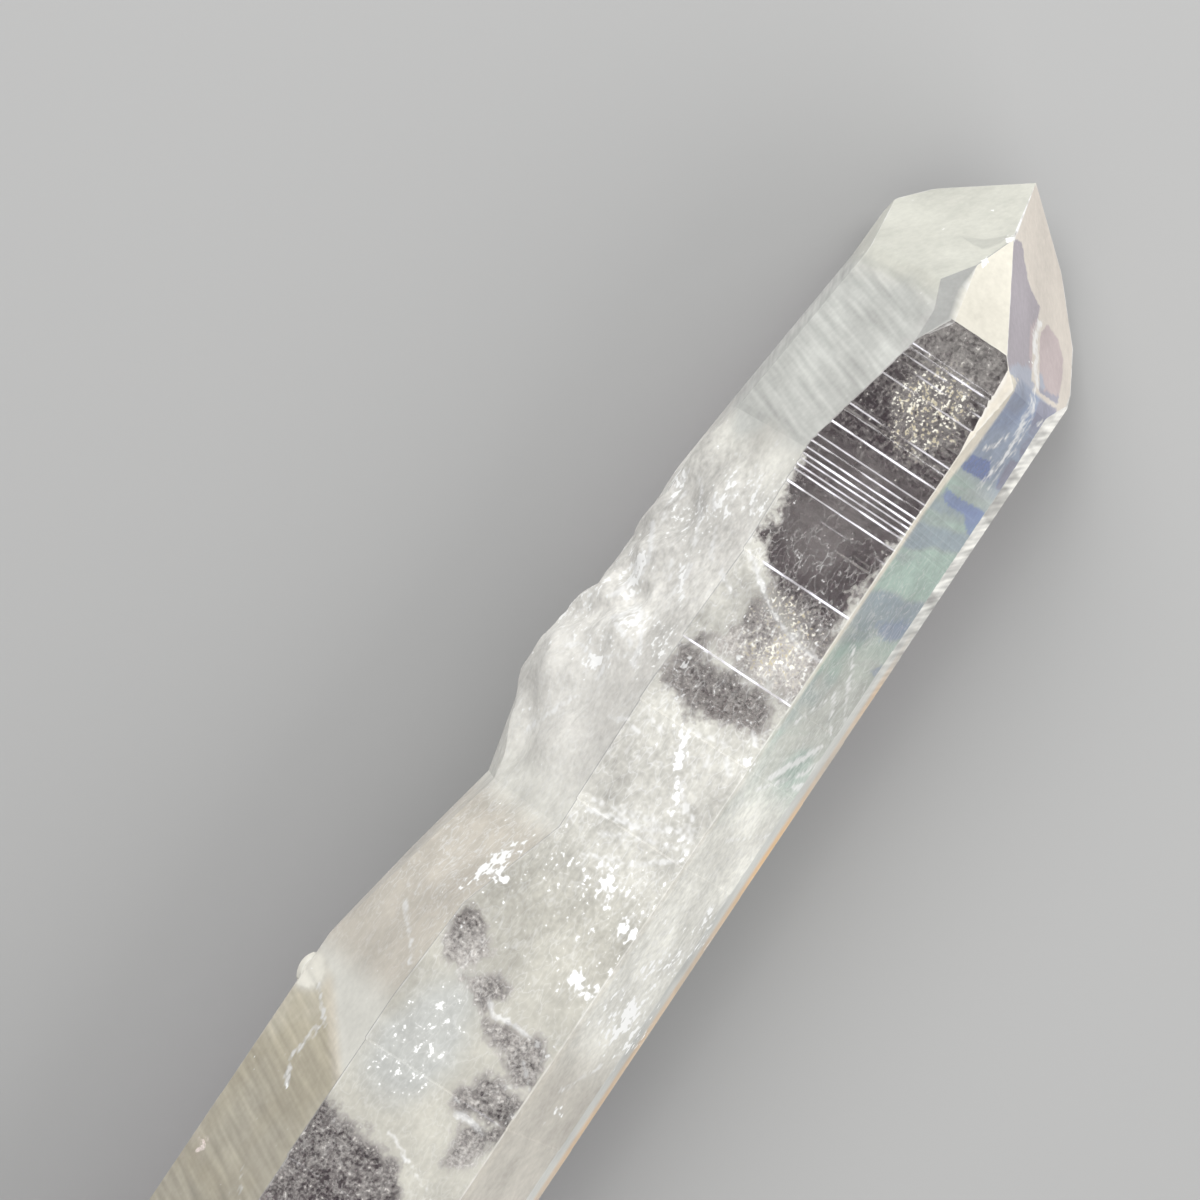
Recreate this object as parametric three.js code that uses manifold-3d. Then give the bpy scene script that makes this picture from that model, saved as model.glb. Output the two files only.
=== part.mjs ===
// A quartz crystal of the lemurian habit, lying on its back face.
// Units are millimetres. +Z is up, +Y points from the broken base to the tip, +X is to the right when
// the crystal is seen from above with its tip away from the viewer.
// The origin is on the surface that the crystal lies on, under the middle of the whole outline.
import * as THREE from 'three';
import { ParametricGeometry } from 'three/addons/geometries/ParametricGeometry.js';
import { mergeVertices } from 'three/addons/utils/BufferGeometryUtils.js';
import Module from 'manifold-3d';

const wasm = await Module();
wasm.setup();

// Driving dimensions. A depth is measured down from the apex along the crystal.
const degree = Math.PI / 180;
const prismEnd = 130;
const apexPlace = { x: 1.43, y: 61.53 };
const tipSlope = Math.tan(38.2 * degree);
const restDistance = 6.6;
const windowDistance = 14.7;

// The flat faces, in order round the long axis through the apex. azimuth is the way a face looks, in
// degrees, with 0 up and 90 to the right. Where the face takes part in the six-sided point, tip is its
// distance from the axis at the apex's level, and it leaves the axis at tipSlope from there. sides gives
// [depth, distance from the axis] along the column. columns is the number of strips across the face.
const faces = [
  {
    name: 'window', azimuth: 0, columns: 4, tip: 4.18,
    sides: [[13, windowDistance], [prismEnd, windowDistance]],
  },
  { name: 'right_sliver', azimuth: 30, columns: 1, sides: [[13.6, 14.84], [24, 15.2]] },
  {
    name: 'right_front', azimuth: 60, columns: 3, tip: 0,
    sides: [[13.5, 11.85], [20, 11.4], [50, 11.2], [85, 10.98]],
  },
  {
    name: 'right_edge', azimuth: 75, columns: 1,
    sides: [[8.5, 9.27], [12.9, 11.07], [85, 10.62], [prismEnd, 10.6]],
  },
  { name: 'right_back', azimuth: 120, columns: 3, tip: 3.4, sides: [[8.5, 10.2], [30, 9.8], [prismEnd, 9.5]] },
  {
    name: 'rest', azimuth: 180, columns: 3, tip: 0,
    sides: [[8, restDistance], [prismEnd, restDistance]],
  },
  {
    name: 'left_back', azimuth: 240, columns: 3, tip: 3.4,
    sides: [[8, 9.6], [60, 9.5], [80, 9.8], [prismEnd, 9.9]],
  },
  {
    name: 'left_edge', azimuth: 270, columns: 4,
    sides: [
      [6.1, 7.95], [11.8, 8.2], [26.4, 10.05], [33, 10.8], [40.6, 10.8], [43.6, 11], [47.3, 12.4],
      [52.1, 12.3], [54.5, 11.5], [60, 10], [67.9, 11.95], [76.4, 13.8], [101, 14.1], [prismEnd, 14.1],
    ],
  },
  {
    name: 'left_front', azimuth: 300, columns: 7, tip: 0,
    sides: [
      [13.3, 9.13], [26.4, 11.77], [34.5, 11.51], [47, 11.8], [60, 11.6], [68.5, 14], [77, 14.45],
      [prismEnd, 14.6],
    ],
  },
  {
    name: 'left_sliver', azimuth: 330, columns: 1,
    sides: [[8.7, 10.3], [13.3, 13.2], [16, 14.1], [18, 15.5]],
  },
];

// Growth ledges: at each depth the faces they cross step out by rise over ledgeRun, then sink back slowly.
const ledgeRun = 0.3;
const ledges = [
  { depth: 16.6, rise: 0.12 }, { depth: 19.2, rise: 0.12 }, { depth: 22.4, rise: 0.12 },
  { depth: 24.2, rise: 0.12 }, { depth: 25.6, rise: 0.15 }, { depth: 27, rise: 0.18 },
  { depth: 28.2, rise: 0.2 }, { depth: 29.6, rise: 0.15 }, { depth: 35.6, rise: 0.2 },
  { depth: 43.3, rise: 0.25 }, { depth: 48.9, rise: 0.15 }, { depth: 57.5, rise: 0.15 },
  { depth: 80.6, rise: 0.2 }, { depth: 90.9, rise: 0.2 }, { depth: 106, rise: 0.2 },
];
const ledgedFaces = ['window', 'right_front', 'right_back', 'left_back'];

// Lumps and hollows of the rough left shoulder: where the middle is, how far it reaches and how high it
// stands. A hollow has a negative height.
const lumps = [
  { azimuth: 298, depth: 31, reach: 3, height: 0.5 },
  { azimuth: 320, depth: 33, reach: 2.6, height: 0.4 },
  { azimuth: 285, depth: 37, reach: 3.4, height: 0.4 },
  { azimuth: 308, depth: 39.5, reach: 3.2, height: 0.8 },
  { azimuth: 290, depth: 44.5, reach: 3.5, height: 0.7 },
  { azimuth: 315, depth: 46, reach: 3.6, height: 0.8 },
  { azimuth: 298, depth: 50.5, reach: 5, height: 1.2 },
  { azimuth: 275, depth: 49.5, reach: 4, height: 0.3 },
  { azimuth: 320, depth: 55, reach: 3.5, height: 0.5 },
  { azimuth: 310, depth: 35.5, reach: 2.2, height: -0.5 },
  { azimuth: 294, depth: 41, reach: 2, height: -0.4 },
  { azimuth: 312, depth: 43, reach: 1.9, height: -0.5 },
  { azimuth: 302, depth: 57.5, reach: 2.6, height: -0.5 },
];

// The rough zone of the left shoulder, and how high its waves stand.
const roughZone = { start: 27, end: 60, middle: 296, halfWidth: 34, height: 0.28 };

// A small crystal stuck to the left edge below the shoulder.
const nub = { x: -13.3, depth: 79.5, z: 3.6, radius: 1.1, length: 1.5 };

// Chips knocked out of the edges.
const chips = [
  { x: 11.2, depth: 11.6, z: 2.2, radius: 0.9 },
  { x: 11.3, depth: 66, z: 1.6, radius: 0.8 },
  { x: -7.6, depth: 96, z: -6.8, radius: 1.1 },
  { x: 6.2, depth: 71, z: -6.9, radius: 1 },
];

// The hollows of the shell-like fracture that ends the crystal: bottom is the depth each one reaches up to.
const fractureHollows = [
  { x: 5, z: 10, bottom: 119, radius: 36 },
  { x: -10, z: 5, bottom: 121.2, radius: 24 },
  { x: -1, z: -6, bottom: 121.8, radius: 30 },
  { x: 11, z: -1, bottom: 120.8, radius: 22 },
];

// Depths of the rows of points: close together at the point and on the rough shoulder, wide apart below.
const tipDepths = [0, 2, 4, 4.6, 5.3, 6.1, 7, 8, 8.5, 9.6, 10.5, 11, 11.8, 12.9, 13.4, 14.4, 15.1, 15.6];
const shoulderSpacing = 1.25;
const columnDepths = [18, 20, 61.5, 64, 66, 68.2, 72, 76.4, 78, 84, 98, 101, 112, prismEnd];

function evenSteps(start, end, spacing) {
  const count = Math.round((end - start) / spacing);
  return Array.from({ length: count + 1 }, (_, step) => start + (end - start) * step / count);
}

function rowDepths() {
  const ledgeDepths = ledges.flatMap((ledge) => [ledge.depth, ledge.depth + ledgeRun]);
  const shoulder = evenSteps(roughZone.start, roughZone.end, shoulderSpacing);
  const free = shoulder.filter((depth) => ledgeDepths.every((edge) => Math.abs(edge - depth) > ledgeRun));
  return [...tipDepths, ...columnDepths, ...ledgeDepths, ...free].sort((a, b) => a - b);
}

// Height of a line drawn through points, which runs straight on past its ends.
function alongLine(points, place) {
  let last = 1;
  while (last < points.length - 1 && place > points[last][0]) last += 1;
  const [startPlace, startValue] = points[last - 1];
  const [endPlace, endValue] = points[last];
  return startValue + (endValue - startValue) * (place - startPlace) / (endPlace - startPlace);
}

// How far the ledges lift a face at a depth: a quick rise at each ledge, then a slow fall to the next one.
function ledgeLift(depth) {
  const next = ledges.findIndex((ledge) => ledge.depth > depth);
  const index = next === -1 ? ledges.length - 1 : next - 1;
  if (index < 0) return 0;
  const ledge = ledges[index];
  const end = next === -1 ? prismEnd : ledges[next].depth;
  const passed = depth - ledge.depth;
  const up = Math.min(passed / ledgeRun, 1);
  const down = Math.max(passed - ledgeRun, 0) / (end - ledge.depth - ledgeRun);
  return ledge.rise * (up - down);
}

function faceDistance(face, depth) {
  const lift = ledgedFaces.includes(face.name) ? ledgeLift(depth) : 0;
  const side = alongLine(face.sides, depth) + lift;
  return face.tip === undefined ? side : Math.min(face.tip + tipSlope * depth, side);
}

// The outline across the crystal at a depth: the stretch of each face that no other face cuts off, as
// its two end corners. A face that has no width there shrinks to the corner nearest to it.
function crossSection(depth) {
  const lines = faces.map((face) => {
    const turn = face.azimuth * degree;
    return { x: Math.sin(turn), z: Math.cos(turn), distance: faceDistance(face, depth) };
  });
  const stretches = lines.map((line) => {
    const limits = { low: -Infinity, high: Infinity };
    for (const other of lines) {
      const rate = other.x * line.z - other.z * line.x;
      if (Math.abs(rate) < 1e-9) continue;
      const meeting = (other.distance - (other.x * line.x + other.z * line.z) * line.distance) / rate;
      if (rate > 0) limits.high = Math.min(limits.high, meeting);
      else limits.low = Math.max(limits.low, meeting);
    }
    if (limits.low > limits.high + 1e-9) return null;
    return [limits.low, limits.high].map((along) => new THREE.Vector2(
      line.x * line.distance + line.z * along,
      line.z * line.distance - line.x * along,
    ));
  });
  const corners = stretches.filter((stretch) => stretch !== null).flat();
  return stretches.map((stretch, index) => {
    if (stretch) return stretch;
    const line = lines[index];
    const reach = corners.map((corner) => corner.x * line.x + corner.y * line.z);
    const nearest = corners[reach.indexOf(Math.max(...reach))];
    return [nearest, nearest];
  });
}

// A mound that is 1 in the middle and 0 from its reach outwards.
function mound(distance, reach) {
  const share = Math.min(distance / reach, 1);
  return (1 - share * share) ** 2;
}

// How far the lumps, hollows and waves of the rough shoulder push the surface out.
function shoulderLift(azimuth, depth, radius) {
  let lift = 0;
  for (const lump of lumps) {
    const around = (azimuth - lump.azimuth) * degree * radius;
    lift += lump.height * mound(Math.hypot(around, depth - lump.depth), lump.reach);
  }
  const middleDepth = (roughZone.start + roughZone.end) / 2;
  const halfLength = (roughZone.end - roughZone.start) / 2;
  const zone = mound(Math.abs(azimuth - roughZone.middle), roughZone.halfWidth)
    * mound(Math.abs(depth - middleDepth), halfLength);
  const turn = azimuth * degree;
  const waves = Math.sin(1.7 * depth + 9 * turn) + Math.sin(0.9 * depth - 17 * turn);
  return lift + roughZone.height * zone * waves;
}

// The closed surface of the crystal before its base is broken off: column counts strips round the
// outline, row counts rows of points down from the apex, and the last row closes the end.
function surfacePoint(column, row, depths, target) {
  let faceIndex = 0;
  let strips = column;
  while (faceIndex < faces.length - 1 && strips > faces[faceIndex].columns) {
    strips -= faces[faceIndex].columns;
    faceIndex += 1;
  }
  const lastRow = depths.length - 1;
  const above = Math.min(Math.floor(row), lastRow - 1);
  const depth = THREE.MathUtils.lerp(depths[above], depths[above + 1], Math.min(row - above, 1));
  const [start, end] = crossSection(depth)[faceIndex];
  const point = start.clone().lerp(end, strips / faces[faceIndex].columns);
  const radius = point.length();
  const azimuth = (Math.atan2(point.x, point.y) / degree + 360) % 360;
  if (radius > 0) point.setLength(radius + shoulderLift(azimuth, depth, radius));
  if (row > lastRow) point.multiplyScalar(lastRow + 1 - row);
  target.set(point.x, -depth, point.y);
}

// Only positions, with shared corners merged and the triangles that have no width taken out.
function closed(geometry) {
  geometry.deleteAttribute('normal');
  geometry.deleteAttribute('uv');
  const merged = mergeVertices(geometry, 1e-4);
  const index = [];
  for (let i = 0; i < merged.index.count; i += 3) {
    const [a, b, c] = [0, 1, 2].map((corner) => merged.index.getX(i + corner));
    if (a !== b && b !== c && c !== a) index.push(a, b, c);
  }
  merged.setIndex(index);
  return merged;
}

function solidFrom(geometry) {
  const shape = closed(geometry);
  return new wasm.Manifold(new wasm.Mesh({
    numProp: 3,
    vertProperties: new Float32Array(shape.attributes.position.array),
    triVerts: new Uint32Array(shape.index.array),
  }));
}

function geometryFrom(solid) {
  const mesh = solid.getMesh();
  const geometry = new THREE.BufferGeometry();
  geometry.setAttribute('position', new THREE.Float32BufferAttribute(mesh.vertProperties, 3));
  geometry.setIndex(new THREE.Uint32BufferAttribute(mesh.triVerts, 1));
  return geometry;
}

function facetedBody() {
  const depths = rowDepths();
  const columns = faces.reduce((count, face) => count + face.columns, 0);
  const rows = depths.length;
  const point = (u, v, target) => surfacePoint((1 - u) * columns, v * rows, depths, target);
  return solidFrom(new ParametricGeometry(point, columns, rows));
}

// A ball with a chosen fineness, its middle at a place across the crystal and a depth.
function ball(x, depth, z, radius, detail) {
  return new THREE.IcosahedronGeometry(radius, detail).translate(x, -depth, z);
}

function nubSolid() {
  const shape = new THREE.IcosahedronGeometry(nub.radius, 1).scale(1, nub.length / nub.radius, 1);
  return solidFrom(shape.translate(nub.x, -nub.depth, nub.z));
}

function buildCrystal() {
  let solid = facetedBody().add(nubSolid());
  for (const chip of chips) {
    solid = solid.subtract(solidFrom(ball(chip.x, chip.depth, chip.z, chip.radius, 1)));
  }
  for (const hollow of fractureHollows) {
    const middle = hollow.bottom + hollow.radius;
    solid = solid.subtract(solidFrom(ball(hollow.x, middle, hollow.z, hollow.radius, 9)));
  }
  return geometryFrom(solid);
}

const quartz = new THREE.MeshStandardMaterial({ color: 0xd9d8cf, roughness: 0.12, metalness: 0 });
const crystal = new THREE.Mesh(buildCrystal(), quartz);
crystal.name = 'crystal';
crystal.position.set(apexPlace.x, apexPlace.y, restDistance);

const group = new THREE.Group();
group.add(crystal);

export default group;
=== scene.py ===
import math
from types import SimpleNamespace

import bpy
import numpy as np
from mathutils import Matrix, Vector


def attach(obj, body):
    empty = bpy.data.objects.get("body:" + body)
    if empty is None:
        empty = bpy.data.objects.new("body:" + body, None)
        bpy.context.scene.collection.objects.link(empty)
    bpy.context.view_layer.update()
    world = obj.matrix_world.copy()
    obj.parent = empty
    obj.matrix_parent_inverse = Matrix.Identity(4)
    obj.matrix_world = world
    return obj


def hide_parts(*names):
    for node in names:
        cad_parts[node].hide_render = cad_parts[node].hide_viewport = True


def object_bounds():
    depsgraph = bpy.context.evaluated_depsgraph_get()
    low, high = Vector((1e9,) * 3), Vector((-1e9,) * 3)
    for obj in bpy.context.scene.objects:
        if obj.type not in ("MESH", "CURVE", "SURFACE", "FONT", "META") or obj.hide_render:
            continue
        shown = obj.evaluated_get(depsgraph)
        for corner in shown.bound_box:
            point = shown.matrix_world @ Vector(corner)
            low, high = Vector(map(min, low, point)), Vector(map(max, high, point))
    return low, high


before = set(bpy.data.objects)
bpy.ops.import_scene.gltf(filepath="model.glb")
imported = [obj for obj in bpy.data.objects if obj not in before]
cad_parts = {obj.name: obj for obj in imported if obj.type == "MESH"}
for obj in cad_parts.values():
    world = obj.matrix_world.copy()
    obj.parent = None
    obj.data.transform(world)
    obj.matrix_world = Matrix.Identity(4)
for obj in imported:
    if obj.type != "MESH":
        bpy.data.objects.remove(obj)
cadLow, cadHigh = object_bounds()
print("stage: frame loaded")

mm = 0.001
degree = math.pi / 180

# The crystal's form, in millimetres. A depth is measured down from the apex along the crystal.
crystal = {
    "tipSlope": math.tan(38.2 * degree),  # how fast the faces of the point leave the long axis
    "restDistance": 6.6,  # from the long axis down to the face that the crystal lies on
    "columnEnd": 112,  # depth where the rows start to follow the broken base
    "ledgeRun": 0.13,  # length of the step at a growth ledge
    "windowTop": 13.36,  # depth where the window face starts, below its slope at the point
    "panelTop": 14.0,  # the same for the right face
    "breakZone": (115, 120),  # depths between which the sides turn frosty towards the broken base
    "photoTurn": 5,  # degrees that the camera stands round to the crystal's left
}

# Flat faces in order round the long axis: the way each looks (0 up, 90 right), the strips across it, its
# distance from the axis at the apex's level, and its distance from the axis down the column.
faces = [
    {"name": "window", "azimuth": 0, "strips": 36, "tip": 4.18, "sides": [(13, 14.7), (130, 14.7)]},
    {"name": "rightSliver", "azimuth": 30, "strips": 3, "tip": None, "sides": [(13.6, 14.84), (24, 15.2)]},
    {"name": "rightFront", "azimuth": 60, "strips": 34, "tip": 0,
     "sides": [(13.5, 11.85), (20, 11.4), (50, 11.2), (85, 10.98)]},
    {"name": "rightEdge", "azimuth": 75, "strips": 10, "tip": None,
     "sides": [(8.5, 9.27), (12.9, 11.07), (85, 10.62), (130, 10.6)]},
    {"name": "rightBack", "azimuth": 120, "strips": 16, "tip": 3.4,
     "sides": [(8.5, 10.2), (30, 9.8), (130, 9.5)]},
    {"name": "rest", "azimuth": 180, "strips": 10, "tip": 0, "sides": [(8, 6.6), (130, 6.6)]},
    {"name": "leftBack", "azimuth": 240, "strips": 17, "tip": 3.4,
     "sides": [(8, 9.6), (60, 9.5), (80, 9.8), (130, 9.9)]},
    {"name": "leftEdge", "azimuth": 270, "strips": 26, "tip": None,
     "sides": [(6.1, 7.95), (11.8, 8.2), (26.4, 10.05), (33, 10.8), (40.6, 10.8), (43.6, 11), (47.3, 12.4),
               (52.1, 12.3), (54.5, 11.5), (60, 10), (67.9, 11.95), (76.4, 13.8), (101, 14.1), (130, 14.1)]},
    {"name": "leftFront", "azimuth": 300, "strips": 44, "tip": 0,
     "sides": [(13.3, 9.13), (26.4, 11.77), (34.5, 11.51), (47, 11.8), (60, 11.6), (68.5, 14), (77, 14.45),
               (130, 14.6)]},
    {"name": "leftSliver", "azimuth": 330, "strips": 3, "tip": None,
     "sides": [(8.7, 10.3), (13.3, 13.2), (16, 14.1), (18, 15.5)]},
]
faceNumber = {face["name"]: number for number, face in enumerate(faces)}

# Growth ledges as (depth, how far the face steps out, how brightly the painted highlight on its step shines),
# and how strong the steps are on each face.
ledges = [
    (16.2, 0.06, 0.7), (16.6, 0.1, 0.8), (17.2, 0.05, 0.5), (18.0, 0.05, 0.6), (19.2, 0.1, 0.55),
    (22.4, 0.1, 0.7), (23.0, 0.06, 0.35), (24.2, 0.1, 0.95), (25.6, 0.12, 0.9), (26.2, 0.08, 0.7),
    (26.8, 0.12, 1.0), (27.3, 0.09, 0.9), (27.7, 0.12, 1.0), (28.2, 0.12, 1.0), (28.6, 0.12, 0.9),
    (29.6, 0.12, 0.9), (30.8, 0.05, 0.35), (35.6, 0.18, 0.9), (43.3, 0.22, 1.0), (48.9, 0.12, 0.3),
    (57.5, 0.12, 0.15), (80.6, 0.16, 0.3), (90.9, 0.16, 0.3), (106.0, 0.18, 0.3),
]
ledgeShare = {"window": 1.0, "rightFront": 0.5, "rightBack": 1.0, "leftBack": 1.0}

# Lumps and hollows of the rough left shoulder: azimuth, depth, reach and height of each.
lumps = [
    (298, 31, 3, 0.5), (320, 33, 2.6, 0.4), (285, 37, 3.4, 0.25), (308, 39.5, 3.2, 0.8),
    (290, 44.5, 3.5, 0.5), (315, 46, 3.6, 0.8), (298, 50.5, 5, 1.2), (275, 49.5, 4, 0.2),
    (320, 55, 3.5, 0.5), (310, 35.5, 2.2, -0.5), (294, 41, 2, -0.3), (312, 43, 1.9, -0.5),
    (302, 57.5, 2.6, -0.5),
]
roughZone = {"start": 27, "end": 60, "middle": 296, "halfWidth": 34, "waves": 0.18, "crumple": 0.24}
# The small knob below the shoulder, and four chips as (x, depth, z, radius).
nub = {"x": -13.3, "depth": 79.5, "z": 3.6, "radius": 1.1, "length": 1.5}
chips = [(11.2, 11.6, 2.2, 0.9), (11.3, 66, 1.6, 0.8), (-7.6, 96, -6.8, 1.1), (6.2, 71, -6.9, 1.0)]
# Balls that hollow out the broken base, as (x, z, depth of the lowest point, radius), and its rough skin.
fractureHollows = [(5, 10, 119, 36), (-10, 5, 121.2, 24), (-1, -6, 121.8, 30), (11, -1, 120.8, 22)]
fractureSkin = {"grain": 0.35, "ripple": 0.12, "rippleRate": 2.1, "rippleX": 5, "rippleZ": 12, "sink": 0.3}

# Rows of points along the crystal: (from depth, to depth, spacing).
rowZones = [(0, 16, 0.32), (16, 27, 0.32), (27, 60, 0.27), (60, 86, 0.36), (86, 112, 0.5)]
baseRows = 30
capRows = 26


def valueNoise(points, size, seed):
    # Random values on a lattice with cells of this size, blended smoothly between its corners, from -1 to 1.
    table = np.random.default_rng(seed).uniform(-1, 1, (32, 32, 32))
    scaled = points / size
    cell = np.floor(scaled).astype(int)
    part = scaled - cell
    part = part * part * (3 - 2 * part)
    total = np.zeros(points.shape[:-1])
    for corner in range(8):
        step = np.array([corner & 1, corner >> 1 & 1, corner >> 2 & 1])
        share = np.prod(np.where(step == 1, part, 1 - part), axis=-1)
        at = (cell + step) % 32
        total += share * table[at[..., 0], at[..., 1], at[..., 2]]
    return total


def layeredNoise(points, size, seed, layers=3):
    # A sum of value noises, each half as large and half as strong as the one before.
    return sum(valueNoise(points, size / 2 ** n, seed + n) / 2 ** n for n in range(layers))


def ramp(value, start, end):
    # 0 at start, 1 at end, with a smooth S between; start may be the higher one.
    share = np.clip((value - start) / (end - start), 0, 1)
    return share * share * (3 - 2 * share)


def mound(distance, reach):
    # 1 in the middle, 0 from the reach outwards.
    return (1 - np.clip(distance / reach, 0, 1) ** 2) ** 2


def alongLine(points, place):
    # A line through points that runs straight on past its ends.
    places, values = (np.array(column, float) for column in zip(*points))
    inside = np.interp(place, places, values)
    before = values[0] + (place - places[0]) * (values[1] - values[0]) / (places[1] - places[0])
    after = values[-1] + (place - places[-1]) * (values[-1] - values[-2]) / (places[-1] - places[-2])
    return np.where(place < places[0], before, np.where(place > places[-1], after, inside))


def ledgeLift(depth):
    # A quick rise at each ledge, then a slow fall to the next one.
    lift = np.zeros_like(depth)
    ends = [ledge[0] for ledge in ledges[1:]] + [130]
    run = crystal["ledgeRun"]
    for (start, rise, _), end in zip(ledges, ends):
        passed = depth - start
        up = np.clip(passed / run, 0, 1)
        down = np.clip((passed - run) / (end - start - run), 0, 1)
        lift += np.where((passed > 0) & (depth < end), rise * (up - down), 0)
    return lift


def crossSections(depth):
    # For each depth and face, the two end corners of the stretch that no other face cuts off: each face is a
    # line at its distance from the axis, and every other line limits how far along it the stretch may run.
    lift = ledgeLift(depth)
    turns = np.array([face["azimuth"] * degree for face in faces])
    normal = np.stack([np.sin(turns), np.cos(turns)], -1)
    distance = np.empty((len(depth), len(faces)))
    for number, face in enumerate(faces):
        side = alongLine(face["sides"], depth) + lift * ledgeShare.get(face["name"], 0)
        tip = np.inf if face["tip"] is None else face["tip"] + crystal["tipSlope"] * depth
        distance[:, number] = np.minimum(tip, side)
    low = np.full(distance.shape, -np.inf)
    high = np.full(distance.shape, np.inf)
    for a in range(len(faces)):
        for b in range(len(faces)):
            rate = normal[b, 0] * normal[a, 1] - normal[b, 1] * normal[a, 0]
            if abs(rate) < 1e-9:
                continue
            meeting = (distance[:, b] - normal[a] @ normal[b] * distance[:, a]) / rate
            if rate > 0:
                high[:, a] = np.minimum(high[:, a], meeting)
            else:
                low[:, a] = np.maximum(low[:, a], meeting)
    along = np.stack([low, high], -1)
    tangent = np.stack([normal[:, 1], -normal[:, 0]], -1)
    corners = normal[None, :, None, :] * distance[..., None, None]
    corners = corners + tangent[None, :, None, :] * along[..., None]
    hidden = low > high + 1e-9
    reach = np.einsum("rfek,gk->rfeg", corners, normal)
    reach[hidden] = -np.inf
    flat = corners.reshape(len(depth), -1, 2)
    best = reach.reshape(len(depth), -1, len(faces)).argmax(1)
    nearest = np.take_along_axis(flat, best[..., None], 1)
    return np.where(hidden[..., None, None], nearest[:, :, None, :], corners)


def stripShares(strips):
    # Even strips, with a narrow one along each edge so that the edge stays crisp.
    if strips < 8:
        return np.arange(strips) / strips
    narrow = 0.012
    return np.concatenate([[0, narrow], np.linspace(0, 1, strips - 1)[1:-1], [1 - narrow]])


def rowDepths():
    depths = [np.arange(start, end, spacing) for start, end, spacing in rowZones]
    run = crystal["ledgeRun"]
    starts = np.array([ledge[0] for ledge in ledges])
    steps = starts[:, None] + np.array([-0.02, 0, 0.5 * run, run, 1.6 * run])
    keys = np.array([5.3, 6.1, 8.5, 8.7, 11, 12.9, 13.37, 13.6, 14.4, 15.1, crystal["columnEnd"]])
    depths = np.unique(np.concatenate([*depths, steps.ravel(), keys]))
    depths = depths[depths <= crystal["columnEnd"]]
    keep = np.concatenate([[True], np.diff(depths) > 0.02])
    return depths[keep]


def fractureDepth(x, z):
    # The deepest point that the shell-like hollows leave at a place across the crystal: the nearest ball.
    depth = np.full(x.shape, 128.0)
    for ballX, ballZ, bottom, radius in fractureHollows:
        room = radius ** 2 - (x - ballX) ** 2 - (z - ballZ) ** 2
        depth = np.minimum(depth, np.where(room > 0, bottom + radius - np.sqrt(np.maximum(room, 0)), 128))
    return depth


def shoulderLift(azimuth, depth, radius, places):
    # Lumps, long waves and a crumpled skin on the rough left shoulder, which fade out towards its borders.
    lift = np.zeros_like(depth)
    for lumpAzimuth, lumpDepth, reach, height in lumps:
        around = (azimuth - lumpAzimuth) * degree * radius
        lift += height * mound(np.hypot(around, depth - lumpDepth), reach)
    middle = (roughZone["start"] + roughZone["end"]) / 2
    halfLength = (roughZone["end"] - roughZone["start"]) / 2
    zone = mound(abs(azimuth - roughZone["middle"]), roughZone["halfWidth"])
    zone = zone * mound(abs(depth - middle), halfLength)
    waves = np.sin(1.7 * depth + 9 * azimuth * degree) + np.sin(0.9 * depth - 17 * azimuth * degree)
    stretched = places * np.array([1.0, 0.55, 1.0])
    folds = 1 - 2 * abs(layeredNoise(stretched, 2.6, 11))
    return lift + roughZone["waves"] * zone * waves + roughZone["crumple"] * np.sqrt(zone) * (folds - 0.5)


def shellPoints():
    # Surface of the crystal as a grid: rows run down from the apex, columns run round it face by face.
    depth = rowDepths()
    corners = crossSections(depth)
    columns, owner, share = [], [], []
    for number, face in enumerate(faces):
        part = stripShares(face["strips"])
        start, end = corners[:, number, 0], corners[:, number, 1]
        columns.append(start[:, None] + (end - start)[:, None] * part[None, :, None])
        owner += [number] * len(part)
        share += list(part)
    plan = np.concatenate(columns, 1)
    depths = np.repeat(depth[:, None], plan.shape[1], 1)
    last = plan[-1]
    down = np.linspace(0, 1, baseRows + 1)[1:, None]
    end = fractureDepth(last[:, 0], last[:, 1])
    top = crystal["columnEnd"]
    plan = np.concatenate([plan, np.repeat(last[None], baseRows, 0)])
    depths = np.concatenate([depths, top + (end[None] - top) * down])
    inward = (1 - np.linspace(0, 1, capRows + 1)[1:-1])[:, None, None]
    cap = last[None] * inward
    plan = np.concatenate([plan, cap])
    depths = np.concatenate([depths, fractureDepth(cap[..., 0], cap[..., 1])])
    places = np.stack([plan[..., 0], -depths, plan[..., 1]], -1)
    return places, np.array(owner), np.array(share), len(depth) + baseRows


def cutAndGrow(places, sideRows):
    # Chips move points straight in to the far side of a ball, and the nub moves them straight out to its near
    # side.
    side = places[:sideRows]
    flat = side * np.array([1, 0, 1])
    outward = flat / np.maximum(np.linalg.norm(flat, axis=-1, keepdims=True), 1e-9)
    for x, depth, z, radius in chips:
        gap = side - np.array([x, -depth, z])
        along = (gap * outward).sum(-1)
        room = along ** 2 - (gap ** 2).sum(-1) + radius ** 2
        inside = (gap ** 2).sum(-1) < radius ** 2
        side = side - np.where(inside, along + np.sqrt(np.maximum(room, 0)), 0)[..., None] * outward
    stretch = np.array([1, nub["radius"] / nub["length"], 1])
    gap = (side - np.array([nub["x"], -nub["depth"], nub["z"]])) * stretch
    along = (gap * outward).sum(-1)
    room = along ** 2 - (gap ** 2).sum(-1) + nub["radius"] ** 2
    push = np.where(room > 0, np.sqrt(np.maximum(room, 0)) - along, 0)
    near = abs(gap[..., 0]) < 3
    side = side + np.where(near, np.clip(push, 0, 2), 0)[..., None] * outward
    return np.concatenate([side, places[sideRows:]])


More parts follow.
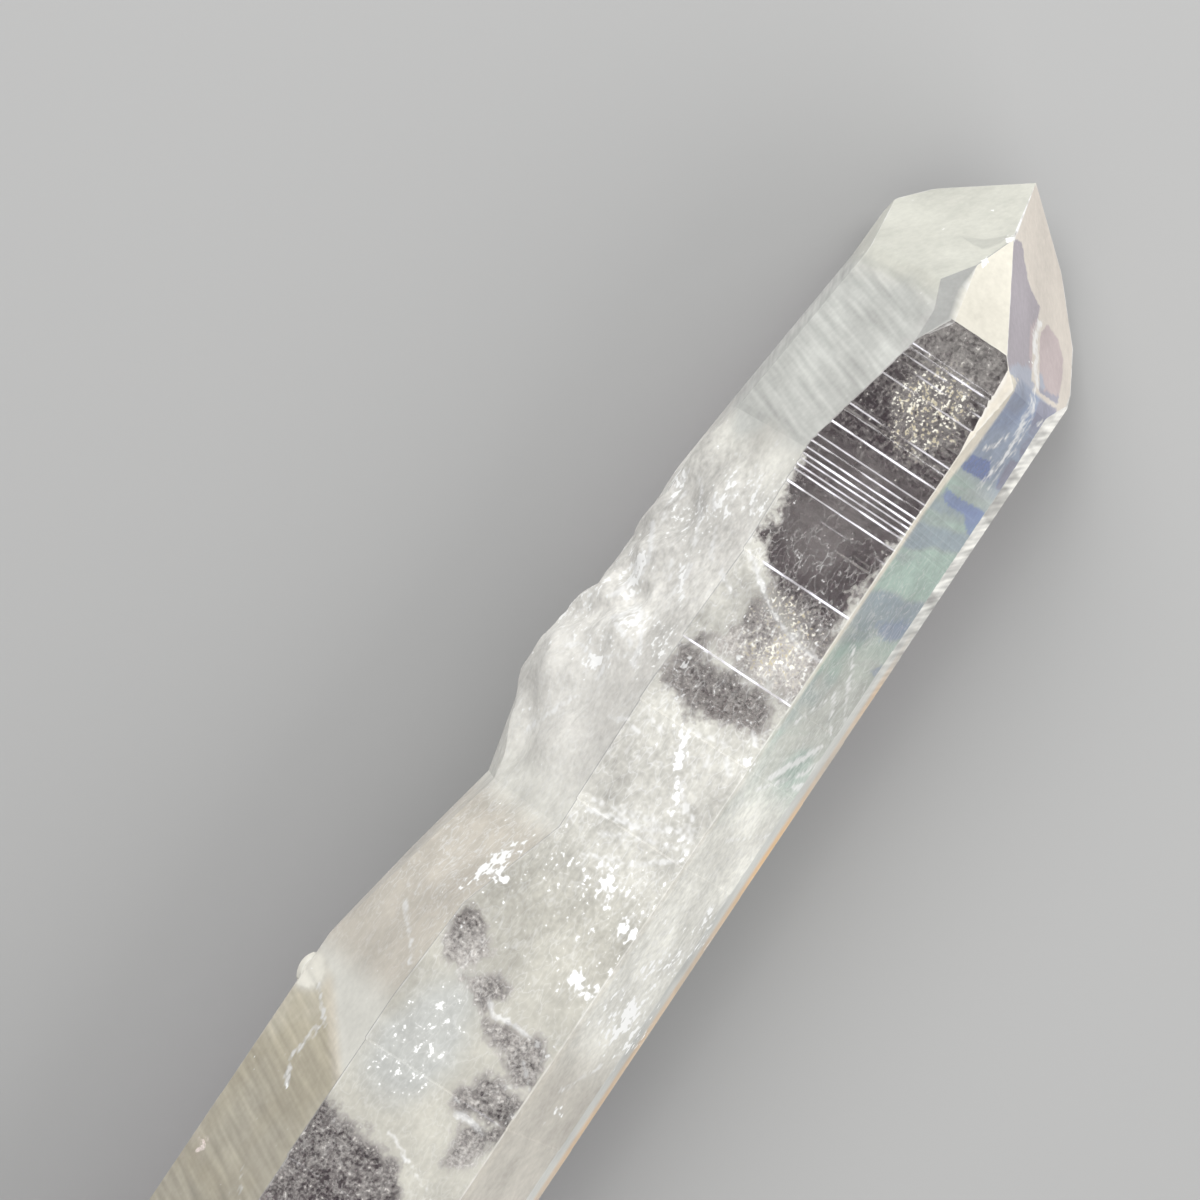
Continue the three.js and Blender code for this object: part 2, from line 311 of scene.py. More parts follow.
def meshObject(name, points, quads, fans):
    # One closed smooth mesh in metres from points, four-sided faces and three-sided ones.
    mesh = bpy.data.meshes.new(name)
    mesh.from_pydata(points.tolist(), [], quads.tolist() + fans.tolist())
    mesh.validate()
    mesh.update()
    mesh.polygons.foreach_set("use_smooth", [True] * len(mesh.polygons))
    piece = bpy.data.objects.new(name, mesh)
    bpy.context.scene.collection.objects.link(piece)
    return piece


def gridFaces(rows, columns):
    # Quads between neighbouring rows, closed round the columns, wound so that they face outwards.
    row, column = np.meshgrid(np.arange(rows - 1), np.arange(columns), indexing="ij")
    beside = (column + 1) % columns
    a, b = row * columns + column, row * columns + beside
    return np.stack([a, a + columns, b + columns, b], -1).reshape(-1, 4)


def poleFans(rows, columns, firstPole, lastPole):
    # Triangles that close the first row on one point and the last row on another.
    column = np.arange(columns)
    beside = (column + 1) % columns
    last = (rows - 1) * columns
    top = np.stack([np.full(columns, firstPole), column, beside], -1)
    bottom = np.stack([np.full(columns, lastPole), last + beside, last + column], -1)
    return np.concatenate([top, bottom])


def addValues(piece, **values):
    for name, value in values.items():
        layer = piece.data.attributes.new(name, "FLOAT", "POINT")
        layer.data.foreach_set("value", np.ascontiguousarray(value, np.float32).ravel())


def addColours(piece, **colours):
    for name, colour in colours.items():
        layer = piece.data.attributes.new(name, "FLOAT_COLOR", "POINT")
        full = np.concatenate([colour, np.ones((len(colour), 1))], 1)
        layer.data.foreach_set("color", np.ascontiguousarray(full, np.float32).ravel())


def buildShell():
    # The grid with its shoulder, chips, nub and shell-like break, closed by a point at each end.
    places, owner, share, sideRows = shellPoints()
    depth = -places[..., 1]
    radius = np.hypot(places[..., 0], places[..., 2])
    azimuth = np.degrees(np.arctan2(places[..., 0], places[..., 2])) % 360
    lift = shoulderLift(azimuth, depth, radius, places)
    outward = places * np.array([1, 0, 1]) / np.maximum(radius, 1e-9)[..., None]
    isSide = (np.arange(len(places)) < sideRows)[:, None]
    places = places + np.where(isSide, lift, 0)[..., None] * outward
    places = cutAndGrow(places, sideRows)
    skin = fractureSkin
    fromCentre = np.hypot(places[..., 0] - skin["rippleX"], places[..., 2] - skin["rippleZ"])
    ripple = skin["ripple"] * np.sin(fromCentre * skin["rippleRate"])
    rough = layeredNoise(places, 2.2, 31) * skin["grain"] + ripple - skin["sink"]
    places[..., 1] -= np.where(isSide, 0, np.minimum(rough, 0))
    places[..., 2] = np.maximum(places[..., 2], -crystal["restDistance"])
    apexX = cadHigh.x / mm - places[..., 0].max()
    origin = np.array([apexX, cadHigh.y / mm, cadLow.z / mm + crystal["restDistance"]])
    rows, columns = places.shape[:2]
    points = places[1:].reshape(-1, 3)
    poles = np.array([[0, 0, 0], [0, -fractureDepth(np.array(0.0), np.array(0.0)), 0]])
    poles[1, 1] += skin["sink"]
    points = np.concatenate([points, poles])
    count = (rows - 1) * columns
    quads = gridFaces(rows - 1, columns)
    fans = poleFans(rows - 1, columns, count, count + 1)
    piece = meshObject("quartz_crystal", (points + origin) * mm, quads, fans)
    return piece, points, owner, share, columns, origin


shell, shellPlaces, shellOwner, shellShare, shellColumns, apexPlace = buildShell()
print("stage: shell", len(shell.data.polygons), "faces, apex at", apexPlace.round(3))


class Wire:
    # A socket that can be used in sums: each operator adds one Math node.
    def __init__(self, tree, socket):
        self.tree, self.socket = tree, socket

    def math(self, operation, *others):
        node = self.tree.nodes.new("ShaderNodeMath")
        node.operation = operation
        for slot, value in enumerate([self, *others]):
            feed(self.tree, node.inputs[slot], value)
        return Wire(self.tree, node.outputs[0])

    def flipped(self, operation, other):
        node = self.tree.nodes.new("ShaderNodeMath")
        node.operation = operation
        feed(self.tree, node.inputs[0], other)
        feed(self.tree, node.inputs[1], self)
        return Wire(self.tree, node.outputs[0])

    def __add__(self, other):
        return self.math("ADD", other)

    def __radd__(self, other):
        return self.math("ADD", other)

    def __sub__(self, other):
        return self.math("SUBTRACT", other)

    def __rsub__(self, other):
        return self.flipped("SUBTRACT", other)

    def __mul__(self, other):
        return self.math("MULTIPLY", other)

    def __rmul__(self, other):
        return self.math("MULTIPLY", other)

    def __abs__(self):
        return self.math("ABSOLUTE")

    def atLeast(self, other):
        return self.math("MAXIMUM", other)

    def clamp(self):
        wire = self.math("ADD", 0.0)
        wire.socket.node.use_clamp = True
        return wire

    def ramp(self, start, end):
        return ((self - start) * (1 / (end - start))).clamp()


def feed(tree, socket, value):
    if isinstance(value, Wire):
        tree.links.new(value.socket, socket)
    elif value is not None:
        socket.default_value = value


class Finish:
    # A material under construction: add() takes a node's type, its settings and its sockets.
    def __init__(self, name):
        self.material = bpy.data.materials.new(name)
        self.material.use_nodes = True
        self.tree = self.material.node_tree
        self.tree.nodes.clear()

    def add(self, kind, settings=None, sockets=None, out=0):
        node = self.tree.nodes.new(kind)
        for name, value in (settings or {}).items():
            setattr(node, name, value)
        for name, value in (sockets or {}).items():
            feed(self.tree, node.inputs[name], value)
        return Wire(self.tree, node.outputs[out])

    def objectPlace(self):
        return self.add("ShaderNodeTexCoord", out="Object")

    def value(self, name):
        return self.add("ShaderNodeAttribute", {"attribute_name": name}, out="Fac")

    def colour(self, name):
        return self.add("ShaderNodeAttribute", {"attribute_name": name}, out="Color")

    def parts(self, place):
        return [self.add("ShaderNodeSeparateXYZ", None, {0: place}, out=axis) for axis in range(3)]

    def joined(self, x, y, z):
        return self.add("ShaderNodeCombineXYZ", None, {0: x, 1: y, 2: z})

    def noise(self, place, scale, detail=2.0, rough=0.5, stretch=(1, 1, 1)):
        stretched = self.add("ShaderNodeVectorMath", {"operation": "MULTIPLY"}, {0: place, 1: stretch})
        return self.add("ShaderNodeTexNoise", None,
                        {"Vector": stretched, "Scale": scale, "Detail": detail, "Roughness": rough})

    def mixColour(self, share, first, second):
        return self.add("ShaderNodeMix", {"data_type": "RGBA"}, {0: share, 6: first, 7: second}, out=2)

    def scaled(self, colour, share):
        return self.add("ShaderNodeVectorMath", {"operation": "SCALE"}, {0: colour, "Scale": share})

    def done(self, surface, volume=None):
        output = self.tree.nodes.new("ShaderNodeOutputMaterial")
        self.tree.links.new(surface.socket, output.inputs["Surface"])
        if volume:
            self.tree.links.new(volume.socket, output.inputs["Volume"])
        return self.material


# What the quartz looks like: colours of the milky parts, of the light that clear parts let through, and the
# size of the patterns in them as noise scales in cells per metre.
quartzLook = {
    "milk": (0.78, 0.77, 0.70),
    "midMilk": (0.63, 0.62, 0.56),
    "lowMilk": (0.55, 0.535, 0.47),
    "tipMilk": (0.69, 0.69, 0.61),
    "pinkMilk": (0.70, 0.635, 0.555),
    "triangleMilk": (0.76, 0.73, 0.63),
    "greyMilk": (0.62, 0.63, 0.59),
    "wedgeMilk": (0.48, 0.49, 0.47),
    # grey of the painted shadow crescent near the apex, also washed over the right panel
    "arcShadeAndPanelGrey": (0.56, 0.56, 0.50),
    "mauveMilk": (0.37, 0.335, 0.365),
    "warmMauve": (0.50, 0.415, 0.41),
    "violetGrey": (0.29, 0.29, 0.37),
    "blueGrey": (0.32, 0.365, 0.475),
    "aquaMilk": (0.39, 0.46, 0.43),
    "blueMilk": (0.37, 0.435, 0.54),
    "creamMilk": (0.78, 0.72, 0.60),
    "nubMilk": (0.74, 0.72, 0.64),
    "beigeMilk": (0.60, 0.545, 0.46),
    "oliveMilk": (0.52, 0.475, 0.36),
    "bulgeMilk": (0.74, 0.725, 0.675),
    "frostMilk": (0.56, 0.567, 0.535),
    "orangeMilk": (0.74, 0.50, 0.28),
    # white of real flaws, also used for painted glints and painted highlights
    "flawWhiteAndHighlight": (0.86, 0.86, 0.84, 1),
    "ledgeHighlightWhite": (0.89, 0.88, 0.97, 1),
    "fleckTan": (0.62, 0.59, 0.55, 1),
    "goldSpeck": (0.56, 0.50, 0.36, 1),
    "goldLight": (0.94, 0.91, 0.78, 1),
    "deepBlue": (0.17, 0.23, 0.47),
    "seaGreen": (0.43, 0.56, 0.48),
    "clear": (0.95, 0.93, 0.95, 1),
    "quartzIor": 1.544,
    # painted shade: absorption that darkens the clear parts the way dark surroundings seen through them would
    "shadeSeenThrough": (0.60, 0.27, 0.38, 1),
    "shadeSeenThroughDensity": 18.0,
    "fibres": 620,
    "hairs": 1500,
    "specks": 4200,
    "strands": 1500,
}

# Limits of the clear parts of the window face, as ([depths], [across the view]) or ([across], [depths]).
windowLimits = {
    "right": ([24, 30, 39], [8.0, 5.6, 5.5]),
    "left": ([13.4, 26.4, 27.5, 34.2, 36.5], [-20, -20, -3.75, -2.8, -2.0]),
    "foot": ([-4.2, -2.6, -1.5, 0, 1.5, 3, 5.8], [32.5, 34.2, 35.6, 36.6, 38.0, 38.6, 39.0]),
    "lowerTop": ([-7, -3, 0, 2, 4, 5.3], [86.6, 86.2, 87.0, 89.5, 94, 96]),
    "lowerRight": ([86, 89, 94, 101, 112], [0.9, 1.9, 2.9, 4.4, 4.6]),
}
# More clear patches there, as outlines of (across, depth).
clearPatches = [
    [(-6.0, 68.6), (-5.0, 68.4), (-3.1, 69.8), (-2.2, 70.8), (-3.6, 71.9), (-5.1, 72.5), (-5.8, 71.8)],
    [(-3.1, 72.9), (-1.3, 71.6), (-0.3, 72.0), (-0.1, 73.1), (-0.9, 73.4), (-0.6, 74.2), (-1.6, 74.4)],
    [(-0.3, 74.9), (1.6, 74.3), (4.4, 74.1), (5.1, 74.5), (5.5, 77.1), (4.0, 77.6), (2.7, 76.4), (0.4, 75.4)],
    [(0.4, 80.4), (1.6, 79.5), (2.1, 78.0), (3.3, 78.0), (5.3, 78.4), (5.1, 80.4), (3.3, 81.0), (1.4, 81.5)],
    [(2.4, 82.0), (3.8, 81.5), (5.2, 80.9), (5.1, 82.8), (4.6, 84.6), (3.1, 85.4), (2.7, 84.3)],
]
# Bright patches on any front face, partly white fractures and partly painted glints: middle across, depth,
# half width, half length, slant, strength.
whitePatchesAndGlints = [
    (-6.2, 65.0, 0.6, 1.7, -0.5, 1.0), (-5.3, 65.4, 1.2, 0.4, 0.3, 0.9), (1.5, 61.3, 0.7, 1.1, 0.5, 1.0),
    (4.4, 63.4, 0.9, 1.0, 0.3, 0.7), (4.3, 68.9, 1.3, 0.6, 0.7, 0.9), (8.6, 69.8, 1.4, 2.0, 0.2, 0.9),
    (8.8, 64.4, 0.8, 1.8, -0.3, 0.7), (0.9, 50.6, 0.4, 1.4, 0.4, 0.95), (2.4, 53.4, 0.5, 1.7, 0.6, 0.8),
    (4.0, 55.6, 0.7, 0.9, 0.5, 0.8), (5.3, 48.2, 0.4, 0.9, 0.2, 0.9), (-7.5, 44.6, 0.8, 1.3, -0.4, 0.85),
    (-8.9, 42.0, 0.7, 2.1, 0.3, 0.85), (-5.9, 40.3, 0.35, 1.6, 0.5, 0.7), (-10.2, 34.2, 0.5, 1.8, 0.4, 0.6),
    (-6.7, 32.4, 0.5, 2.0, 0.3, 0.65), (-7.9, 48.4, 0.9, 0.6, -0.6, 0.75), (-2.4, 45.0, 0.2, 0.9, 0.0, 0.6),
    (9.9, 60.5, 0.5, 1.4, 0.3, 0.6), (-3.7, 61.8, 0.5, 0.7, 0.4, 0.5), (5.0, 74.2, 0.4, 0.5, 0.0, 0.8),
    (0.5, 5.4, 0.3, 0.28, 0.0, 1.0), (-0.2, 8.1, 0.22, 0.3, 0.0, 1.0), (-1.6, 3.9, 0.14, 0.12, 0.0, 1.0),
    (7.9, 77.9, 0.5, 0.4, 0.3, 0.6), (-9.9, 87.0, 0.2, 0.4, 0.0, 0.8), (6.9, 12.0, 0.2, 0.3, 0.0, 0.6),
]
# Fine light lines of cracks and veils on the front, and painted glints on the shoulder: points as (across,
# depth), then strength. The light fades out within the reach, in millimetres.
lineReach = 0.65
lightLines = [
    # olive face and slope above the nub
    ([(-12.0, 79.7), (-10.8, 81.1), (-9.8, 81.8)], 0.9),
    ([(-10.2, 82.4), (-10.5, 84.3), (-10.7, 85.7)], 0.85),
    ([(-10.3, 86.0), (-9.8, 87.1)], 1.0),
    ([(-9.3, 93.7), (-7.7, 96.7)], 0.7),
    ([(-10.2, 70.7), (-9.2, 72.1), (-8.3, 72.7), (-7.2, 74.3)], 0.85),
    ([(-9.3, 62.5), (-8.3, 66.0), (-8.6, 69.5)], 0.6),
    ([(-12.7, 71.0), (-12.3, 69.9)], 0.7),
    # lower windows and the veil between them
    ([(-1.6, 85.4), (0.2, 86.4), (2.0, 87.1), (4.0, 88.1), (4.6, 93)], 0.85),
    ([(-5.7, 86.8), (-4.9, 88.0)], 0.8),
    ([(-4.5, 91.1), (-2.6, 90.4), (-0.9, 90.6)], 0.6),
    ([(1.7, 81.7), (2.9, 81.6), (4.1, 81.9)], 1.0),
    ([(1.1, 80.8), (2.1, 81.1)], 0.8),
    ([(3.2, 78.2), (4.1, 78.0), (4.7, 77.4)], 0.8),
    ([(3.8, 75.9), (5.1, 77.2)], 0.85),
    ([(4.2, 81.8), (5.0, 80.5), (5.5, 79.0)], 0.7),
    ([(-0.8, 73.5), (0.0, 74.2), (1.6, 74.0), (4.1, 74.2)], 1.0),
    ([(7.4, 76.4), (8.4, 74.6), (9.0, 73.5)], 0.8),
    ([(8.0, 79.3), (6.8, 78.7), (7.7, 77.4)], 0.6),
    # fan of fibres and the folds of the shoulder's foot
    ([(5.0, 54.8), (1.7, 56.8), (-2.5, 57.8)], 0.95),
    ([(5.3, 56.4), (1.3, 57.7), (-0.8, 58.8)], 0.85),
    ([(5.0, 57.5), (2.4, 59.4), (-1.0, 60.7)], 0.9),
    ([(5.3, 55.6), (3.0, 55.6), (1.0, 56.3), (-2.6, 57.0)], 0.8),
    ([(3.3, 55.5), (-0.5, 56.3)], 0.75),
    ([(4.2, 54.2), (2.9, 53.3), (1.7, 52.4)], 0.95),
    ([(2.5, 52.8), (4.0, 54.7), (5.1, 55.3)], 0.8),
    ([(3.9, 49.2), (4.9, 50.1)], 0.95),
    ([(2.7, 49.7), (3.0, 50.6)], 0.85),
    ([(4.4, 46.4), (5.3, 47.2)], 1.0),
    ([(-0.1, 48.9), (1.4, 48.8), (3.3, 48.2)], 0.85),
    ([(-2.1, 57.8), (-4.1, 59.5), (-6.6, 60.3)], 0.6),
    ([(-7.6, 51.2), (-8.1, 52.2), (-9.0, 54.4), (-9.5, 55.9)], 0.85),
    ([(-10.4, 48.8), (-9.7, 48.1), (-8.6, 48.2)], 0.9),
    ([(-4.8, 51.3), (-3.7, 50.7)], 0.85),
    ([(-3.1, 51.1), (-2.3, 51.1)], 0.85),
    ([(-2.9, 48.9), (-3.3, 50.7)], 0.7),
    ([(-2.5, 49.6), (-1.0, 50.1)], 0.8),
    # painted glints that run down the shoulder
    ([(-10.1, 37.6), (-9.3, 39.1), (-8.9, 40.3)], 1.05),
    ([(-8.8, 41.0), (-9.2, 42.8), (-9.6, 43.7)], 1.05),
    ([(-9.3, 34.4), (-9.9, 35.9), (-9.6, 36.9)], 0.85),
    ([(-8.2, 34.4), (-7.5, 35.1), (-7.1, 36.0), (-6.5, 37.6)], 0.9),
    ([(-7.3, 33.5), (-6.9, 34.3)], 0.9),
    ([(-6.0, 35.3), (-5.1, 37.6)], 0.85),
    ([(-6.1, 38.7), (-5.9, 40.2), (-6.0, 41.8)], 0.95),
    ([(-7.2, 39.2), (-6.9, 40.4)], 0.85),
    ([(-8.9, 33.0), (-8.2, 33.7)], 0.85),
    ([(-10.0, 32.8), (-10.0, 33.7)], 0.85),
    ([(-7.6, 43.5), (-8.1, 44.4), (-8.7, 45.2), (-6.5, 46.0)], 1.0),
    ([(-7.1, 43.6), (-5.9, 45.7), (-5.5, 47.2)], 0.95),
    ([(-8.0, 48.4), (-7.2, 47.6), (-6.1, 46.6)], 0.85),
    ([(-7.1, 49.5), (-7.3, 48.5)], 0.95),
    ([(-8.1, 29.9), (-6.1, 30.0), (-4.9, 31.5), (-4.4, 33.1), (-3.4, 35.2)], 0.7),
    ([(-5.5, 27.3), (-6.1, 30.0), (-6.2, 32.7), (-5.5, 35.0)], 0.65),
    ([(-4.0, 37.8), (-3.2, 38.5), (-2.2, 38.8)], 0.9),
    # border of the upper window's foot
    ([(-2.9, 35.6), (0.2, 38.0), (2.1, 38.9), (4.0, 39.4), (5.7, 39.4)], 0.95),
    # right face: veils that sweep down from the tip, then across it
    ([(5.9, 9.0), (6.1, 10.3), (7.0, 11.6), (8.2, 13.4)], 1.0),
    ([(8.1, 13.2), (8.3, 14.4), (8.6, 15.2), (8.7, 16.2), (9.0, 17.3), (9.1, 19.0), (9.0, 20.4)], 0.85),
    ([(8.6, 14.5), (9.2, 15.8), (9.3, 17.0), (9.5, 18.2), (9.4, 19.9), (9.5, 21.7)], 0.75),
    ([(8.3, 17.8), (8.1, 18.7), (7.4, 19.6)], 0.8),
    ([(10.1, 15.2), (10.0, 15.7)], 0.85),
    ([(8.2, 19.9), (8.9, 20.1), (8.7, 22.1)], 0.8),
    ([(7.4, 37.2), (8.2, 38.6), (8.8, 39.9), (9.6, 41.3), (10.3, 42.3)], 0.85),
    ([(7.9, 40.6), (8.6, 41.5), (9.0, 42.6), (9.9, 43.6)], 0.75),
    ([(7.9, 41.6), (7.3, 43.0), (6.8, 44.1)], 0.8),
    ([(9.6, 44.6), (9.0, 46.0), (8.1, 47.4), (7.6, 48.6)], 1.05),
    ([(10.7, 47.3), (9.7, 48.3)], 1.05),
    ([(10.5, 45.5), (9.6, 47.0), (8.5, 48.4), (7.2, 49.8)], 0.85),
    ([(12.0, 47.6), (11.0, 49.6), (10.3, 51.5)], 0.75),
    ([(11.6, 51.6), (9.9, 52.5), (7.3, 54.3)], 0.75),
    ([(0.6, 67.6), (2.6, 66.0), (4.8, 65.2)], 0.6),
    ([(-1.9, 63.9), (-0.6, 66.2), (-0.9, 69.0)], 0.5),
]
# Patches where another inner face shows through, and one painted shadow: colour, face, how much it covers,
# how crisp its border is, and corners as (across, depth).
facetAndShadowPatches = [
    ("mauveMilk", "rightFront", 1.0, 1.0,
     [(0.3, 5.4), (1.4, 4.9), (3.5, 7.2), (5.3, 8.0), (5.8, 9.3), (6.1, 10.6), (7.9, 13.9), (4.0, 14.4),
      (-1, 9)]),
    ("warmMauve", "rightFront", 1.0, 1.0,
     [(6.5, 8.6), (7.9, 8.9), (9.1, 9.9), (9.7, 11), (10.5, 13.3), (8.6, 13.6), (7.0, 10.9), (6.4, 9.8)]),
    # painted shadow: a grey crescent of shade across the left face near the apex
    ("arcShadeAndPanelGrey", "leftFront", 1.0, 1.0,
     [(-2.9, 7.0), (-1.9, 6.7), (-1.1, 6.4), (-0.5, 5.9), (0.3, 5.1), (0.1, 6.0), (-0.4, 6.7), (-0.8, 7.2),
      (-1.7, 7.2)]),
    ("blueGrey", "rightFront", 0.8, 0.7, [(6.5, 13.8), (8.0, 13.3), (8.1, 15.2), (8.0, 16.2), (6.9, 16.4)]),
    ("violetGrey", "rightFront", 0.9, 0.7,
     [(8.9, 14.1), (10.6, 13.6), (10.8, 14.4), (10.8, 16.2), (9.6, 16.7)]),
    ("violetGrey", "rightFront", 0.6, 0.4,
     [(9.6, 17.0), (10.3, 16.3), (10.6, 17.5), (10.2, 18.3), (9.7, 18.0)]),
    ("violetGrey", "rightFront", 0.9, 0.6,
     [(9.6, 18.9), (10.6, 18.5), (11.0, 19.9), (10.7, 21.2), (9.8, 21.3), (9.6, 19.9)]),
    ("deepBlue", "rightFront", 0.85, 0.7,
     [(6.5, 21.7), (6.8, 20.6), (8.4, 20.0), (9.0, 21.2), (8.8, 21.5), (6.6, 21.9)]),
    ("deepBlue", "rightFront", 0.7, 0.6,
     [(6.6, 24.4), (6.6, 23.7), (8.1, 23.6), (10.5, 23.2), (10.8, 23.8), (10.7, 25.4), (9.9, 25.3),
      (8.9, 24.3), (7.4, 24.6)]),
    ("deepBlue", "rightFront", 0.35, 0.3, [(7.8, 34.8), (9.8, 33.2), (10.7, 33.9), (9.9, 35.2), (8.9, 35.5)]),
    ("deepBlue", "rightFront", 0.35, 0.5, [(9.5, 37.7), (10.3, 36.9), (10.6, 37.6), (10.0, 38.1)]),
]


def blob(across, depth, middleAcross, middleDepth, halfAcross, halfDepth, slant=0.0):
    # About how far inside an ellipse a place is, in millimetres; the slant pushes it across as it goes down.
    shifted = across - middleAcross - slant * (depth - middleDepth)
    far = np.hypot(shifted / halfAcross, (depth - middleDepth) / halfDepth)
    return (1 - far) * min(halfAcross, halfDepth)


def within(value, low, high, soft):
    # 1 between two places, 0 outside, with soft borders.
    return ramp(value, low - soft, low + soft) * ramp(value, high + soft, high - soft)


def fromSegments(across, depth, points):
    # Distance in millimetres to the nearest stretch of a line through points.
    nearest = np.full(len(depth), 99.0)
    place = np.stack([across, depth], -1)
    for start, end in zip(points, points[1:]):
        start, step = np.array(start), np.subtract(end, start)
        along = np.clip((place - start) @ step / (step @ step), 0, 1)
        nearest = np.minimum(nearest, np.linalg.norm(place - start - along[:, None] * step, axis=1))
    return nearest


def insideOutline(across, depth, corners):
    # How far inside a closed outline a place is, below 0 outside it.
    crossings = np.zeros(len(depth), int)
    closed = [*corners, corners[0]]
    for (x0, y0), (x1, y1) in zip(closed, closed[1:]):
        spans = (depth >= min(y0, y1)) & (depth < max(y0, y1))
        meeting = x0 + (depth - y0) * (x1 - x0) / (y1 - y0 if y1 != y0 else 1)
        crossings += spans & (across < meeting)
    return fromSegments(across, depth, closed) * np.where(crossings % 2 == 1, 1, -1)


def onFaces(at, *names):
    return np.isin(at.owner, [faceNumber[name] for name in names]).astype(float)


def shellView():
    # Each point of the shell as the camera's side sees it, its face and place on it, soft noises at it, and
    # how much it belongs to each part of the crystal that the patterns below follow.
    rowCount = len(shellPlaces) // shellColumns
    turn = crystal["photoTurn"] * degree
    at = SimpleNamespace()
    at.owner = np.concatenate([np.tile(shellOwner, rowCount), [faceNumber["leftFront"], faceNumber["rest"]]])
    at.share = np.concatenate([np.tile(shellShare, rowCount), [0.5, 0.5]])
    at.across = shellPlaces[:, 0] * math.cos(turn) + shellPlaces[:, 2] * math.sin(turn)
    at.depth = -shellPlaces[:, 1]
    at.wander = layeredNoise(shellPlaces, 4.0, 51)
    at.drift = layeredNoise(shellPlaces, 9.0, 61)
    at.jagged = layeredNoise(shellPlaces, 1.2, 71)
    at.cloud = layeredNoise(shellPlaces * np.array([1, 0.8, 1]), 3.2, 81, 4)

    at.triangle = onFaces(at, "window") * (at.depth <= crystal["windowTop"])
    at.window = onFaces(at, "window") * (at.depth > crystal["windowTop"])
    at.left = onFaces(at, "leftFront", "leftEdge")
    at.wedge = onFaces(at, "leftSliver")
    at.right = onFaces(at, "rightFront", "rightSliver")
    at.panel = at.right * (at.depth >= crystal["panelTop"])
    at.rim = onFaces(at, "rightEdge")
    at.under = onFaces(at, "rightBack", "leftBack", "rest")
    at.bulge = at.left * within(at.depth, 31, 57, 4)
    at.sloped = at.left * within(at.depth, 61, 77, 1.5)
    at.bandTop = np.interp(at.across, [-14, -11.3, -7], [78.6, 79.2, 84.0])
    at.band = at.left * ramp(at.depth, at.bandTop - 0.3, at.bandTop + 0.5)  # the olive lower left face
    at.nub = ramp(np.hypot(shellPlaces[:, 0] + 14, at.depth - nub["depth"]), 2.0, 1.3)
    at.broken = ramp(at.depth, *crystal["breakZone"])
    frost = blob(at.across + 0.9 * at.wander, at.depth + at.drift, -3.2, 78.5, 3.9, 6.4)
    at.frosty = at.window * np.clip(frost / 1.8, 0, 1)
    return at


def clearParts(at):
    # How far inside a clear part each point is, in millimetres and below 0 outside, and how much it lies in
    # the veiled stretch between the two upper windows.
    across, depth, limits = at.across, at.depth, windowLimits
    upper = np.minimum.reduce([
        np.interp(depth, *limits["right"]) - across,
        across - np.interp(depth, *limits["left"]),
        np.interp(across, *limits["foot"]) - depth,
    ])
    between = np.minimum.reduce([
        depth - 38.6, 43.2 - depth, 5.9 - across, across + 1.2 - 0.8 * at.wander + 0.5 * (depth - 41),
    ])
    second = np.minimum.reduce([across + 3.7, 5.7 - across, depth - 43.38, 48.0 - 0.25 * abs(across) - depth])
    lower = np.minimum.reduce([
        depth - np.interp(across, *limits["lowerTop"]),
        np.interp(depth, *limits["lowerRight"]) - across,
        104 + 2 * at.wander - depth,
    ])
    spots = [1.6 * insideOutline(across, depth, corners) + 0.3 for corners in clearPatches]
    front = np.maximum.reduce([upper, second - 0.25, lower, between, *spots]) + 0.6 * at.jagged
    back = np.minimum.reduce([abs(depth - 58 - 2 * at.wander) - 13 - 2 * at.drift, depth - 12.5, 117 - depth])
    milky = -3
    inside = np.where(at.window > 0, front, milky)
    inside = np.where(at.under > 0, back, inside)
    inside = np.where(at.nub > 0.2, milky, inside)
    return inside, np.clip(between + 0.4, 0, 1) * ramp(upper, 0.3, -0.5)


class Paint:
    # Colour and milkiness of each point: wash() blends a colour in, fill() sets the milkiness of some points.
    def __init__(self, count):
        self.tint = np.tile(np.array(quartzLook["milk"]), (count, 1))
        self.milk = np.full(count, 0.80)

    def wash(self, colour, share):
        self.tint = self.tint * (1 - share[:, None]) + np.array(quartzLook[colour]) * share[:, None]

    def shade(self, gain):
        self.tint = self.tint * gain[:, None]

    def fill(self, where, amount):
        self.milk = np.where(where, amount, self.milk)


def paintWindow(paint, at):
    # Creamy at the point, warmer and darker down the column, with a frosty patch between the lower windows.
    depth, window = at.depth, at.window
    paint.fill(window > 0, 0.80 + 0.14 * at.wander)
    paint.fill(window > 0, paint.milk - 0.25 * within(depth, 37, 43, 2))
    paint.wash("midMilk", window * ramp(depth, 26, 32))
    paint.wash("lowMilk", window * ramp(depth, 57, 66))
    paint.wash("bulgeMilk", 0.3 * window * within(depth, 49, 60, 4))
    paint.wash("triangleMilk", at.triangle)
    paint.wash("frostMilk", at.frosty)


def paintLeft(paint, at):
    # Pale grey under the point, white on the shoulder, beige on the slope below it, then the olive face,
    # which starts with a bright line.
    depth, left = at.depth, at.left
    paint.fill(left > 0, 0.80 + 0.1 * at.wander)
    paint.wash("bulgeMilk", at.bulge)
    paint.wash("tipMilk", left * (depth < 12.5))
    paint.wash("greyMilk", left * within(depth, 12.6 + 0.9 * at.wander, 27.5 + 1.5 * at.wander, 1.2))
    paint.fill((left > 0) & (depth > 12) & (depth < 27), 0.72)
    paint.wash("wedgeMilk", at.wedge * 0.9)
    paint.fill(at.wedge > 0, 0.62)
    paint.wash("beigeMilk", at.sloped * 0.75)
    paint.wash("oliveMilk", at.band * (0.92 + 0.2 * np.clip(at.wander, -0.5, 0.3)))
    paint.shade(1 + at.band * np.interp(depth, [84, 98], [0.12, -0.12]))
    paint.wash("creamMilk", left * mound(abs(depth - at.bandTop - 0.2), 1.1) * 0.8)
    paint.fill(at.band > 0.5, 0.74)


